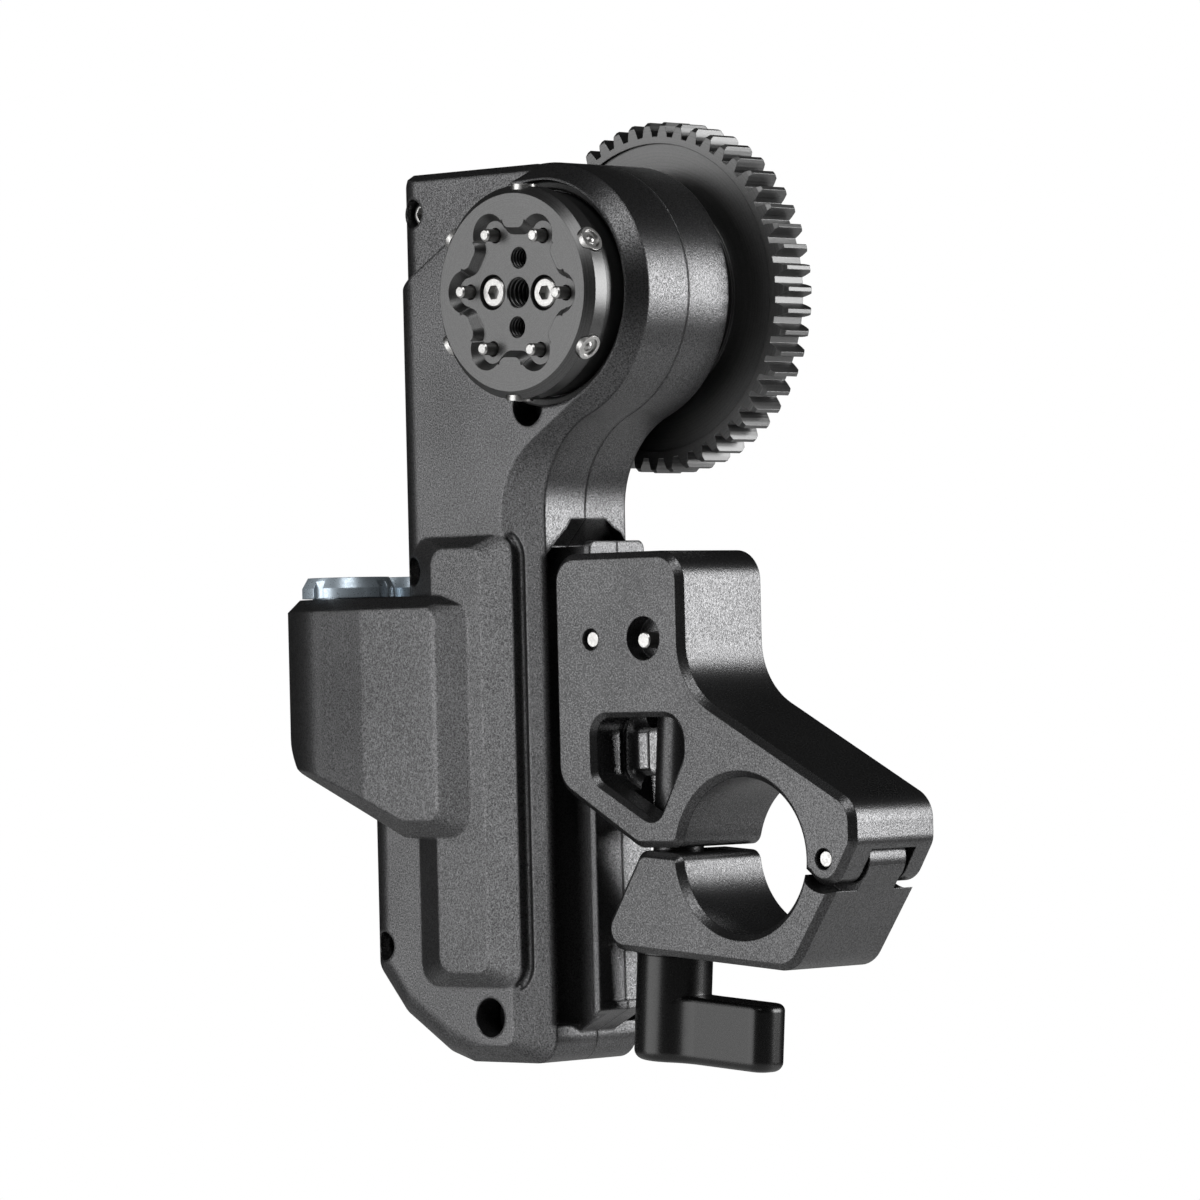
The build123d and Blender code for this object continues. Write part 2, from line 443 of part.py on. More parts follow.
pins = []
for i in range(6):
    c = on(HUB_TURN + 60 * i, PIN_PCD_R)
    p = cyl(0.75, -0.8, 2.3, *c)
    p = chamfer([q for q in p.edges() if abs(q.center().Y + 0.8) < 0.01], 0.2)
    pins.append(p + cyl(0.85, 2.2, 4.95, *c))
keep("hub_pins", Compound(children=pins))
hs = []
for a in (HUB_TURN, HUB_TURN + 180):
    c = on(a, 4.15)
    s = cyl(1.8, 1.3, 2.98, *c)
    s = chamfer([q for q in s.edges() if abs(q.center().Y - 1.3) < 0.01], 0.2)
    s = s + cyl(1.18, 2.9, 9.5, *c) - slab(Pos(*c) * RegularPolygon(0.92, 6), 1.0, 2.3)
    hs.append(s)
keep("hub_screws", Compound(children=hs))
pl = []
for i in range(6):
    a = HUB_TURN + 30 + 60 * i
    s = Pos(11.1, PL_Y, 0) * Rot(0, 90, 0) * Cylinder(1.18, 2.38) + Pos(12.45, PL_Y, 0) * Rot(0, 90, 0) * Cylinder(1.56, 0.7)
    s -= Pos(12.8, PL_Y, 0) * Rot(0, 90, 0) * Cylinder(1.12, 0.5)
    s += Pos(12.55, PL_Y, 0) * Rot(0, 90, 0) * Sphere(0.7, arc_size1=0, arc_size2=90)
    pl.append(Rot(0, -a, 0) * s)
keep("hub_plungers", Compound(children=pl))

shaft = cyl(SHAFT_R, 4.6, 24.0) - cyl(1.75, 4, 11.0)
for a in (HUB_TURN, HUB_TURN + 180):
    shaft -= cyl(1.18, 4, 10.0, *on(a, 4.15))
for k in range(3):
    shaft -= cyl(1.0, 15.0, 25, *on(90 + 120 * k, 4.0))
shaft -= tube(7, 5.7, 22.35, 22.95)
keep("output_shaft", shaft)
for nm, y0 in (("front", 7.6), ("rear", 17.8)):
    o = tube(9.0, 8.0, y0, y0 + 4.0) + tube(8.05, 7.15, y0, y0 + 0.3) + tube(8.05, 7.15, y0 + 3.7, y0 + 4.0)
    keep(nm + "_bearing_outer", o)
    i = tube(7.0, SHAFT_R + 0.005, y0, y0 + 4.0)
    i -= tube(7.6, 6.8, y0 + 1.2, y0 + 2.8)
    keep(nm + "_bearing_inner", i)
seal = tube(13.43, 12.32, 6.0, 6.95)
keep("hub_seal", chamfer([q for q in seal.edges() if abs(q.center().Y - 6.0) < 0.01], 0.25))
ring = tube(7.3, 5.72, 22.37, 22.93) - box(-1.3, 1.3, 22, 24, 4, 9)
keep("retaining_ring", ring)
spacer = tube(6.4, SHAFT_R + 0.01, 11.62, 14.5)
keep("shaft_spacer", spacer)

ph_out = 0.0
ph_bs = mesh_phase((0, 0), OUT_T, ph_out, B_POS, B_S)
ph_bl = 7.0
ph_as = mesh_phase(B_POS, B_L, ph_bl, A_POS, A_S)
ph_al = 5.0
ph_cs = mesh_phase(A_POS, A_L, ph_al, C_POS, C_S)
ph_cl = 3.0
ph_m = mesh_phase(C_POS, C_L, ph_cl, M_POS, M_T)
og = train_gear(OUT_T, (0, 0), 14.6, 17.2, ph_out) - cyl(SHAFT_R + 0.01, 14, 18)
for k in range(6):
    og -= cyl(1.3, 14, 18, *on(30 + 60 * k, 8.2))
keep("output_gear", og)


def idler(c, ts, phs, ys, tl, phl, yl):
    b = train_gear(ts, c, ys[0], ys[1], phs) + train_gear(tl, c, yl[0], yl[1], phl)
    y0, y1 = min(ys[0], yl[0]), max(ys[1], yl[1])
    b += cyl(2.3, y0, y1, *c)
    return b - cyl(1.04, y0 - 1, y1 + 1, *c)


keep("idler_second", idler(B_POS, B_S, ph_bs, (14.3, 17.4), B_L, ph_bl, (12.0, 14.0)))
keep("idler_third", idler(A_POS, A_S, ph_as, (11.8, 14.2), A_L, ph_al, (8.6, 10.6)))
keep("idler_first", idler(C_POS, C_S, ph_cs, (8.4, 10.8), C_L, ph_cl, (12.0, 14.0)))
keep("idler_axles", Compound(children=[cyl(1.0, 6.85, 21.2, *B_POS), cyl(1.0, 6.85, 21.2, *A_POS), cyl(1.0, 6.85, 21.2, *C_POS)]))
mp = train_gear(M_T, M_POS, 11.8, 14.2, ph_m) - cyl(1.0, 11, 15, *M_POS)
keep("motor_pinion", mp)
keep("motor_shaft", cyl(1.0, 11.6, 20.0, *M_POS))
can = cyl(6.55, 15.2, 20.88, *M_POS) + cyl(3.0, 14.8, 15.3, *M_POS)
can = fillet([q for q in can.edges() if abs(q.center().Y - 15.2) < 0.01 and q.length > 30], 0.6)
can -= cyl(1.05, 14, 20.3, *M_POS)
for k in range(3):
    can -= cyl(0.7, 15, 16.4, *on(90 + 120 * k, 4.6, *M_POS))
keep("motor_can", can)

# rear carrier and the toothed drive gear
rh = cyl(11.9, 23.75, 25.05) + cyl(7.98, 24.9, 28.4)
rh -= cyl(SHAFT_R + 0.01, 23, 24.0)
for k in range(3):
    rh -= cyl(1.25, 23, 30, *on(90 + 120 * k, 4.0))
for k in range(3):
    rh -= cyl(0.95, 23, 26.5, *on(30 + 120 * k, 9.6))
keep("rear_carrier", rh)
cs = []
for k in range(3):
    c = on(90 + 120 * k, 4.0)
    s = cyl(2.0, 26.6, 28.35, *c) + cyl(0.98, 16, 26.7, *c)
    s -= slab(Pos(*c) * RegularPolygon(1.0, 6), 27.2, 29)
    cs.append(s)
for k in range(3):
    rh -= cyl(2.05, 26.6, 29, *on(90 + 120 * k, 4.0))
    rh -= cyl(1.0, 23, 27, *on(90 + 120 * k, 4.0))
keep("rear_carrier", rh)
keep("carrier_screws", Compound(children=cs))

gf = gear_face(GEAR_TEETH, GEAR_M, 20.0, 1.0, 1.2, 0.12, -0.3, 4)
gear = slab(gf, GEAR_Y0, GEAR_Y1)
prof = cyl(GEAR_R + 1, GEAR_Y0 + 0.5, GEAR_Y1 - 0.5) + cone(GEAR_R - 0.45, GEAR_R + 0.05, GEAR_Y0, GEAR_Y0 + 0.5) + cone(GEAR_R + 0.05, GEAR_R - 0.45, GEAR_Y1 - 0.5, GEAR_Y1)
gear &= prof
gear -= cyl(8.0, 24, 31)
gear -= cyl(10.6, 28.6, 31)
gear -= tube(18.6, 12.6, 24, 25.5) + tube(18.6, 12.6, 29.7, 31)
for k in range(3):
    gear -= cyl(0.95, 24, 28.0, *on(30 + 120 * k, 9.6))
keep("drive_gear", gear)
keep("gear_pins", Compound(children=[cyl(0.93, 23.8, 27.8, *on(30 + 120 * k, 9.6)) for k in range(3)]))
gp = cyl(10.5, 28.62, 29.9) - cyl(1.6, 28, 31)
gp = chamfer([q for q in gp.edges() if abs(q.center().Y - 29.9) < 0.01 and q.length > 40], 0.4)
for k in range(3):
    gp -= cone(1.3, 2.3, 28.61, 29.91, *on(30 + 120 * k, 6.0))
    gp -= cyl(1.3, 28, 31, *on(30 + 120 * k, 6.0))
keep("gear_plate", gp)
ps = []
for k in range(3):
    c = on(30 + 120 * k, 6.0)
    s = cone(1.24, 2.2, 28.66, 29.86, *c) + cyl(1.0, 25.6, 28.8, *c) - slab(Pos(*c) * RegularPolygon(0.8, 6), 29.2, 31)
    ps.append(s)
for k in range(3):
    rh -= cyl(1.0, 25.5, 29, *on(30 + 120 * k, 6.0))
keep("rear_carrier", rh)
keep("plate_screws", Compound(children=ps))

# ---------------------------------------------------------------- electronics
bd = slab(poly([(-29.2, -53.4), (-29.2, -79.6), (-25.4, -84.2), (-22.5, -86.0), (-8.3, -86.0), (-8.3, -52.4), (-28.4, -52.4)]), BOARD_Y0, BOARD_Y1 - 0.02)
for c in BOARD_HOLES:
    bd -= cyl(0.75, 12, 15, *c)
for c in SCREW_DEEP + SCREW_SIDE:
    bd -= cyl(2.6, 12, 15, *c)
keep("main_board", bd)
parts_b = [box(-24.0, -17.0, 11.5, BOARD_Y0 - 0.01, -66.0, -59.0), box(-15.0, -10.0, 11.6, BOARD_Y0 - 0.01, -68.0, -61.0), box(-25.5, -21.5, 11.7, BOARD_Y0 - 0.01, -74.5, -70.0),
           box(-15.5, -12.0, 11.8, BOARD_Y0 - 0.01, -74.0, -71.5), cyl(2.3, 9.0, BOARD_Y0 - 0.01, -13.5, -79.0), cyl(1.7, 9.8, BOARD_Y0 - 0.01, -18.5, -79.5),
           box(-19.5, -12.5, 10.6, BOARD_Y0 - 0.01, -57.4, -54.4), box(-28.6, -25.6, 11.0, BOARD_Y0 - 0.01, -66.5, -60.5)]
keep("board_parts", Compound(children=parts_b))
keep("board_screws", Compound(children=[cyl(1.3, 11.8, BOARD_Y0 - 0.01, *c) + cyl(0.63, 12.4, 17.5, *c) - box(c[0] - 0.9, c[0] + 0.9, 11, 12.15, c[1] - 0.17, c[1] + 0.17) for c in BOARD_HOLES]))


def port(y, tag):
    body = Pos(PORT_X, y, -42.2) * Cylinder(4.45, 13.0) + Pos(PORT_X, y, -38.25) * Cylinder(4.9, 1.0)
    body -= Pos(PORT_X, y, -36.0) * Cylinder(3.45, 9.0)
    top = Pos(PORT_X, y, -34.6) * Cylinder(4.45, 2.6) - Pos(PORT_X, y, -34.6) * Cylinder(3.45, 4)
    keep("port_" + tag + "_barrel", body + top)
    ins = Pos(PORT_X, y, -39.2) * Cylinder(3.43, 2.6)
    ins -= Pos(PORT_X, y, -39.2) * Cylinder(0.36, 6)
    for k in range(5):
        ins -= Pos(PORT_X + 2.0 * math.cos(math.radians(72 * k + 90)), y + 2.0 * math.sin(math.radians(72 * k + 90)), -39.2) * Cylinder(0.36, 6)
    keep("port_" + tag + "_insert", ins)
    pp = []
    for x, yy in [(0, 0)] + [(2.0 * math.cos(math.radians(72 * k + 90)), 2.0 * math.sin(math.radians(72 * k + 90))) for k in range(5)]:
        pp.append(Pos(PORT_X + x, y + yy, -38.6) * Cylinder(0.35, 3.6))
    keep("port_" + tag + "_pins", Compound(children=pp))
    nut = Pos(PORT_X, y, -34.66) * Cylinder(5.72, 1.24) + Pos(PORT_X, y, -33.4) * Cone(5.72, 4.98, 1.3)
    nut -= Pos(PORT_X, y, -34) * Cylinder(4.47, 6)
    for k in range(4):
        a = 4 + 90 * k
        nut -= Pos(PORT_X, y, -34.0) * Rot(0, 0, a) * Pos(5.75, 0, 0) * Box(1.1, 1.45, 5)
    keep("port_" + tag + "_nut", nut)


port(PORT_Y1, "front")
port(PORT_Y2, "rear")

# ---------------------------------------------------------------- rod clamp
cl = [(-0.7, -30.97), (19.75, -30.97), (19.75, -46.78), (45.4, -60.58), (45.4, -65.3), (43.41, -68.53), (41.0, -69.0), (38.5, -68.85), (37.3, -67.9), (34.0, -65.75), (12.0, -65.75), (-0.7, -58.3)]
cf = poly(cl, [3.4, 3.6, 8.4, 3.6, 2.5, 0, 0, 0, 0, 0, 3.0, 4.0])
cf = cf + disc(3.0, PIN_X, PIN_Z) - disc(ROD_R, BORE_X, BORE_Z)
cf = round_at(cf, BORE_X - math.sqrt(ROD_R ** 2 - (BORE_Z + 65.75) ** 2), -65.75, 1.5)
# lightening window: a pocket from each face, a rounded web between them
W = [(4.85, -49.8), (19.93, -49.8), (19.93, -55.3), (15.3, -63.7), (4.85, -57.95)]
WR = [2.7, 3.4, 3.0, 2.4, 2.8]
MOUTH = 0.65
clamp = bevelled(cf - offset(poly(W, WR), -MOUTH), CLAMP_Y0, CLAMP_Y1, CLAMP_CH, MOUTH)
web = slab(offset(poly(W, WR), 0.3), 11.75, 15.65) - slab(offset(poly(W, WR), -2.05), 11, 17)
rim = []
for f in web.faces():
    if abs(abs(f.normal_at().Y) - 1) < 0.01:
        rim += list(f.inner_wires()[0].edges())
try:
    web = fillet(rim, 1.35)
except Exception as err:
    print("web rounding left out", err)
clamp += web
# rail slot, shoe pocket, stud chamber and passage
clamp -= box(RAIL_X0 - 0.2, RAIL_X1 + 0.15, RAIL_Y0 - 0.15, RAIL_Y1 + 0.15, -80, -20)
clamp -= box(-3, RAIL_X0, NECK_Y0 - 0.15, NECK_Y1 + 0.15, -80, -20)
clamp -= box(2.9, 7.9, 9.85, 18.2, -44.2, -38.3)
clamp -= cyl(1.02, 5, 23, GIB_X, GIB_Z) + cyl(1.3, 5, 7.6, GIB_X, GIB_Z) + cyl(1.3, 20.48, 23, GIB_X, GIB_Z)
ST_Y0, ST_Y1 = 10.25, 17.83
clamp -= cyl(4.45, ST_Y0, ST_Y1, SWING_X, SWING_Z)
clamp -= box(9.25, 18.3, ST_Y0, ST_Y1, -52.3, SWING_Z)
clamp -= box(8.2, 17.1, ST_Y0, ST_Y1, -70, -56.2)
clamp -= cyl(0.99, 5, 22.9, SWING_X, SWING_Z)
clamp -= cyl(2.58, 5, 8.9, 13.76, -41.19) + cyl(2.58, 19.18, 23, 13.76, -41.19)
# fork for the jaw's tongue, pin bores
clamp -= cyl(3.75, 10.3, 18.15, PIN_X, PIN_Z) + box(PIN_X, 50, 10.3, 18.15, -72, -65.97)
clamp -= cyl(1.03, 5, 23, PIN_X, PIN_Z)
clamp -= cyl(1.25, 5, 8.2, PIN_X, PIN_Z) + cyl(1.25, 19.88, 23, PIN_X, PIN_Z)
keep("clamp_body", clamp)

pinj = cyl(1.0, 6.95, 21.13, PIN_X, PIN_Z)
keep("jaw_pin", chamfer([q for q in pinj.edges() if abs(q.center().Y - 6.95) < 0.01 or abs(q.center().Y - 21.13) < 0.01], 0.15))
spin = cyl(0.97, 6.7, 21.38, SWING_X, SWING_Z)
keep("stud_pin", chamfer([q for q in spin.edges() if abs(q.center().Y - 6.7) < 0.01 or abs(q.center().Y - 21.38) < 0.01], 0.15))
gpin = cyl(1.0, 6.9, 21.2, GIB_X, GIB_Z)
keep("shoe_pin", chamfer([q for q in gpin.edges() if abs(q.center().Y - 6.9) < 0.01 or abs(q.center().Y - 21.2) < 0.01], 0.15))
gib = box(3.18, 7.4, 10.0, 18.05, -44.0, -38.5) - cyl(1.02, 5, 23, GIB_X, GIB_Z)
keep("rail_shoe", gib)

# ---------------------------------------------------------------- lower jaw, as it stands tipped past the rod size
jo = [(12.25, -66.02), (28.2, -67.2), (36.5, -68.0), (43.94, -68.0), (35.75, -80.02), (4.95, -77.55)]
jf = poly(jo, [1.7, 0, 0, 0, 3.8, 2.6]) - disc(ROD_R, JAW_X, JAW_Z)
tongue = slab(disc(3.25, PIN_X, PIN_Z) + (jf & disc(4.3, PIN_X, PIN_Z)), 10.9, 17.35)
jf = round_at(jf, 18.7, -66.5, 1.35)
jaw = bevelled(jf, CLAMP_Y0, CLAMP_Y1, CLAMP_CH)
jaw -= cyl(3.95, 5, 23, PIN_X, PIN_Z)
jaw += tongue
jaw -= cyl(ROD_R, 10, 18.2, JAW_X, JAW_Z)
jaw -= cyl(1.05, 5, 23, PIN_X, PIN_Z)
JT = math.radians(TILT)
ux, uz = -math.sin(JT), -math.cos(JT)


def along(t, off=0.0):
    """Point on the stud's axis t below its pin, off to the right of it."""
    return SWING_X + ux * t + math.cos(JT) * off, SWING_Z + uz * t - math.sin(JT) * off


sx, sz = along(33.0, -15.0)
slot = Pos(sx, SPLIT_Y, sz) * Rot(0, TILT, 0) * Pos(2.4, 0, 0) * Box(34.8, 6.4, 24)
jaw -= slot
keep("lower_jaw", jaw)


def turned(r, t0, t1):
    x, z = along((t0 + t1) / 2)
    return Pos(x, SPLIT_Y, z) * Rot(0, TILT, 0) * Cylinder(r, t1 - t0)


def local(shape):
    """From a frame with its origin at the stud's pin and -Z down the stud."""
    return Pos(SWING_X, SPLIT_Y, SWING_Z) * Rot(0, TILT, 0) * shape


rod = Pos(0, 0, -25.5) * Cylinder(STUD_R, 45.0)
rod = chamfer([q for q in rod.edges() if q.center().Z < -47.9], 0.6)
stud = cyl(4.0, 10.54, 17.54, SWING_X, SWING_Z) + local(rod)
stud -= cyl(1.04, 5, 23, SWING_X, SWING_Z)
keep("clamp_stud", stud)
T_J = 36.85
keep("thrust_washer", turned(4.7, T_J, T_J + 0.3) - turned(3.1, T_J - 1, T_J + 2))
kz0, kz1 = -(T_J + 0.33), -49.8
sec = Circle(4.5) + Pos(8.2, 0) * Rectangle(16.4, 5.2)
for sgn in (1, -1):
    sec = round_at(sec, 3.67, 2.6 * sgn, 5.0)
    sec = round_at(sec, 16.4, 2.6 * sgn, 2.2)
wing = Pos(0, 0, kz1) * extrude(sec, amount=8.0)
wing = fillet([q for q in wing.edges() if abs(q.center().Z - kz1) < 0.01], 1.2)
wing = fillet([q for q in wing.edges() if abs(q.center().Z - (kz1 + 8.0)) < 0.01], 0.85)
knob = wing + Pos(0, 0, (kz0 - 46.0) / 2) * Cylinder(4.5, kz0 + 46.0)
knob -= Pos(0, 0, (kz0 - 48.4) / 2) * Cylinder(3.2, kz0 + 48.4 + 0.02)
knob -= Pos(0, 0, (kz0 - 3.6)) * Cylinder(3.9, 7.21)
keep("wing_knob", local(knob))
keep("knob_insert", local(Pos(0, 0, kz0 - 3.6) * (Cylinder(3.89, 7.2) - Cylinder(3.05, 9))))

# ---------------------------------------------------------------- write the parts
for name, shape in nodes.items():
    moved = Pos(-ORIGIN[0], -ORIGIN[1], -ORIGIN[2]) * shape
    export_step(moved, "parts/" + name + ".step")
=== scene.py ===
import bpy
import math
import random
from mathutils import Matrix, Vector


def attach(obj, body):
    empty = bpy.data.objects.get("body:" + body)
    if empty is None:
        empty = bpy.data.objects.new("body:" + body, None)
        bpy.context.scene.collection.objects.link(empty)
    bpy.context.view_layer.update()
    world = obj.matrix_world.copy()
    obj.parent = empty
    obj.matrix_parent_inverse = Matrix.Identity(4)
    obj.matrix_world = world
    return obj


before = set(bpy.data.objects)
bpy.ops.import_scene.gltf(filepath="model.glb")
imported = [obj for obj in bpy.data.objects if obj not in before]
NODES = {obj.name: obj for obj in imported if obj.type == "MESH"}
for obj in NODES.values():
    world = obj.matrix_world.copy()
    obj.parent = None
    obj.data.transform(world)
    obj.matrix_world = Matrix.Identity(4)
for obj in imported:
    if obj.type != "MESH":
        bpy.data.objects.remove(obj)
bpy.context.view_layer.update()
MM = 0.001
ORIGIN = (28.13, 14.04, -67.05)   # the row frame's origin in the drawing's own frame, mm


def P(x, y, z):
    """A point of the drawing's frame (hub axis and hub face at 0) in the row frame, in metres."""
    return Vector(((x - ORIGIN[0]) * MM, (y - ORIGIN[1]) * MM, (z - ORIGIN[2]) * MM))


# ------------------------------------------------------------------ node helpers
def new_mat(name):
    m = bpy.data.materials.new(name)
    m.use_nodes = True
    nt = m.node_tree
    for n in list(nt.nodes):
        nt.nodes.remove(n)
    out = nt.nodes.new("ShaderNodeOutputMaterial")
    bsdf = nt.nodes.new("ShaderNodeBsdfPrincipled")
    nt.links.new(bsdf.outputs[0], out.inputs[0])
    return m, nt, bsdf


def node(nt, kind, **vals):
    n = nt.nodes.new(kind)
    for k, v in vals.items():
        if k.startswith("i_"):
            key = k[2:].replace("_", " ")
            n.inputs[key].default_value = v
        else:
            setattr(n, k, v)
    return n


def noise(nt, coord, scale, detail=2.0, rough=0.5, mapping=None):
    n = node(nt, "ShaderNodeTexNoise", i_Scale=scale, i_Detail=detail, i_Roughness=rough)
    nt.links.new(coord, n.inputs["Vector"])
    return n.outputs[0]


def ramp(nt, src, stops, interp="LINEAR"):
    r = nt.nodes.new("ShaderNodeValToRGB")
    r.color_ramp.interpolation = interp
    els = r.color_ramp.elements
    while len(els) > 1:
        els.remove(els[-1])
    els[0].position = stops[0][0]
    els[0].color = stops[0][1]
    for p, c in stops[1:]:
        e = els.new(p)
        e.color = c
    nt.links.new(src, r.inputs[0])
    return r.outputs[0]


def mapr(nt, src, a, b, c, d):
    m = node(nt, "ShaderNodeMapRange")
    m.inputs[1].default_value = a
    m.inputs[2].default_value = b
    m.inputs[3].default_value = c
    m.inputs[4].default_value = d
    nt.links.new(src, m.inputs[0])
    return m.outputs[0]


def math_n(nt, op, a, b=None):
    m = node(nt, "ShaderNodeMath", operation=op)
    for i, v in enumerate((a, b)):
        if v is None:
            continue
        if isinstance(v, (int, float)):
            m.inputs[i].default_value = v
        else:
            nt.links.new(v, m.inputs[i])
    return m.outputs[0]


def grey(v, tint=(1.0, 1.0, 1.0)):
    return (v * tint[0], v * tint[1], v * tint[2], 1.0)


def coords(nt):
    return nt.nodes.new("ShaderNodeTexCoord").outputs["Object"]


def rounded(nt, radius):
    b = node(nt, "ShaderNodeBevel", samples=6)
    b.inputs["Radius"].default_value = radius
    return b.outputs[0]


def bump(nt, height, strength, dist, normal=None):
    b = node(nt, "ShaderNodeBump")
    b.inputs["Strength"].default_value = strength
    b.inputs["Distance"].default_value = dist
    nt.links.new(height, b.inputs["Height"])
    if normal is not None:
        nt.links.new(normal, b.inputs["Normal"])
    return b.outputs[0]


def anodised(name, lo, hi, rough, grain=5200, strength=0.5, metallic=0.85, tint=(1, 1, 1.02), edge=0.00018, spec=0.5, dist=0.00004, spread=0.06):
    """Bead-blasted and dyed aluminium: a fine speckle in colour, gloss and height, over a slow cloud of tone."""
    m, nt, b = new_mat(name)
    co = coords(nt)
    g1 = noise(nt, co, grain, 1.0, 0.5)
    g2 = noise(nt, co, grain * 2.1, 1.0, 0.5)
    g = math_n(nt, "ADD", math_n(nt, "MULTIPLY", g1, 0.65), math_n(nt, "MULTIPLY", g2, 0.35))
    big = noise(nt, co, 70, 3.0, 0.55)
    mix = math_n(nt, "ADD", math_n(nt, "MULTIPLY", g, 0.85), math_n(nt, "MULTIPLY", big, 0.15))
    col = ramp(nt, mix, [(0.36, grey(lo, tint)), (0.50, grey((lo + hi) / 2, tint)), (0.64, grey(hi, tint))])
    nt.links.new(col, b.inputs["Base Color"])
    r = mapr(nt, mix, 0.36, 0.64, rough + spread, rough - spread)
    nt.links.new(r, b.inputs["Roughness"])
    b.inputs["Metallic"].default_value = metallic
    b.inputs["Specular IOR Level"].default_value = spec
    nrm = rounded(nt, edge)
    nt.links.new(bump(nt, g, strength, dist, nrm), b.inputs["Normal"])
    return m


def turned(name, lo, hi, rough, centre, axis="Y", pitch=0.00012, strength=0.25, metallic=0.5, edge=0.00012, tint=(1, 1, 1), spec=0.5):
    """Faced on a lathe: fine rings around an axis."""
    m, nt, b = new_mat(name)
    co = coords(nt)
    mp = node(nt, "ShaderNodeMapping")
    mp.inputs["Location"].default_value = tuple(-c for c in centre)
    nt.links.new(co, mp.inputs["Vector"])
    sep = node(nt, "ShaderNodeSeparateXYZ")
    nt.links.new(mp.outputs[0], sep.inputs[0])
    ax = {"X": (1, 2), "Y": (0, 2), "Z": (0, 1)}[axis]
    a, c = sep.outputs[ax[0]], sep.outputs[ax[1]]
    rad = math_n(nt, "SQRT", math_n(nt, "ADD", math_n(nt, "MULTIPLY", a, a), math_n(nt, "MULTIPLY", c, c)))
    comb = node(nt, "ShaderNodeCombineXYZ")
    nt.links.new(rad, comb.inputs[0])
    rings = noise(nt, comb.outputs[0], 1 / pitch, 2.0, 0.7)
    fine = noise(nt, co, 7000, 2.0, 0.6)
    mix = math_n(nt, "ADD", math_n(nt, "MULTIPLY", rings, 0.55), math_n(nt, "MULTIPLY", fine, 0.45))
    nt.links.new(ramp(nt, mix, [(0.35, grey(lo, tint)), (0.65, grey(hi, tint))]), b.inputs["Base Color"])
    nt.links.new(mapr(nt, mix, 0.35, 0.65, rough - 0.04, rough + 0.06), b.inputs["Roughness"])
    b.inputs["Metallic"].default_value = metallic
    b.inputs["Specular IOR Level"].default_value = spec
    nt.links.new(bump(nt, mix, strength, 0.00002, rounded(nt, edge)), b.inputs["Normal"])
    return m


# ------------------------------------------------------------------ materials
M = {}
M["shell"] = anodised("shell_anodised", 0.022, 0.100, 0.33, strength=0.7, edge=0.0005)
M["clamp"] = anodised("clamp_anodised", 0.024, 0.084, 0.30, strength=0.6, edge=0.0002)
M["hub"] = turned("hub_turned", 0.055, 0.098, 0.34, P(0, 0, 0), metallic=0.85)
M["carrier"] = turned("carrier_turned", 0.03, 0.055, 0.36, P(0, 0, 0), metallic=0.85)
M["gear"] = turned("gear_turned", 0.075, 0.125, 0.38, P(0, 0, 0), metallic=0.85, pitch=0.00022, strength=0.5)
M["knob"] = anodised("knob_satin", 0.0015, 0.004, 0.28, grain=4200, strength=0.08, metallic=0.0, spec=0.34, spread=0.02, edge=0.0003)
M["steel"] = anodised("stainless", 0.30, 0.40, 0.36, grain=4000, strength=0.15, metallic=1.0, tint=(1, 0.99, 0.97), edge=0.0001)
M["bearing"] = turned("bearing_steel", 0.45, 0.62, 0.2, P(0, 0, 0), metallic=1.0)
M["can"] = anodised("nickel_can", 0.35, 0.5, 0.3, grain=3000, strength=0.2, metallic=1.0)
M["dark_steel"] = anodised("black_oxide", 0.02, 0.055, 0.30, grain=5000, strength=0.2, metallic=0.85, edge=0.0001)
M["gear_steel"] = anodised("hobbed_steel", 0.3, 0.45, 0.3, grain=4000, strength=0.3, metallic=1.0)
M["brass"] = anodised("machined_brass", 0.55, 0.8, 0.25, grain=4000, strength=0.2, metallic=1.0, tint=(1, 0.78, 0.38))
M["rubber"] = anodised("seal_rubber", 0.006, 0.014, 0.6, grain=4000, strength=0.4, metallic=0.0)
M["board"] = anodised("solder_mask", 0.02, 0.06, 0.35, grain=2500, strength=0.2, metallic=0.0, tint=(0.3, 1.6, 0.7))
M["chips"] = anodised("chip_packages", 0.012, 0.03, 0.5, grain=5000, strength=0.4, metallic=0.0)
M["nickel"] = anodised("satin_nickel", 0.40, 0.50, 0.32, grain=3000, strength=0.1, metallic=0.6, tint=(0.84, 0.98, 1.10), edge=0.0002)
M["insert"] = anodised("connector_insert", 0.012, 0.028, 0.45, grain=5000, strength=0.3, metallic=0.0)
M["gold"] = anodised("gold_contacts", 0.6, 0.85, 0.22, grain=4000, strength=0.1, metallic=1.0, tint=(1, 0.77, 0.36))

USE = {
    "shell": ["front_shell", "rear_shell"],
    "clamp": ["clamp_body", "lower_jaw"],
    "hub": ["drive_hub"],
    "carrier": ["rear_carrier", "gear_plate"],
    "gear": ["drive_gear"],
    "knob": ["wing_knob"],
    "steel": ["hub_pins", "hub_screws", "hub_plungers", "jaw_pin", "stud_pin", "shoe_pin", "side_screws", "output_shaft", "motor_shaft", "idler_axles", "gear_pins"],
    "bearing": ["front_bearing_outer", "front_bearing_inner", "rear_bearing_outer", "rear_bearing_inner", "shaft_spacer"],
    "can": ["motor_can"],
    "dark_steel": ["clamp_stud", "thrust_washer", "deep_screws", "carrier_screws", "plate_screws", "retaining_ring", "rail_shoe", "board_screws"],
    "gear_steel": ["output_gear"],
    "brass": ["idler_first", "idler_second", "idler_third", "motor_pinion", "knob_insert"],
    "rubber": ["hub_seal"],
    "board": ["main_board"],
    "chips": ["board_parts"],
    "nickel": ["port_front_barrel", "port_rear_barrel", "port_front_nut", "port_rear_nut"],
    "insert": ["port_front_insert", "port_rear_insert"],
    "gold": ["port_front_pins", "port_rear_pins"],
}
done = set()
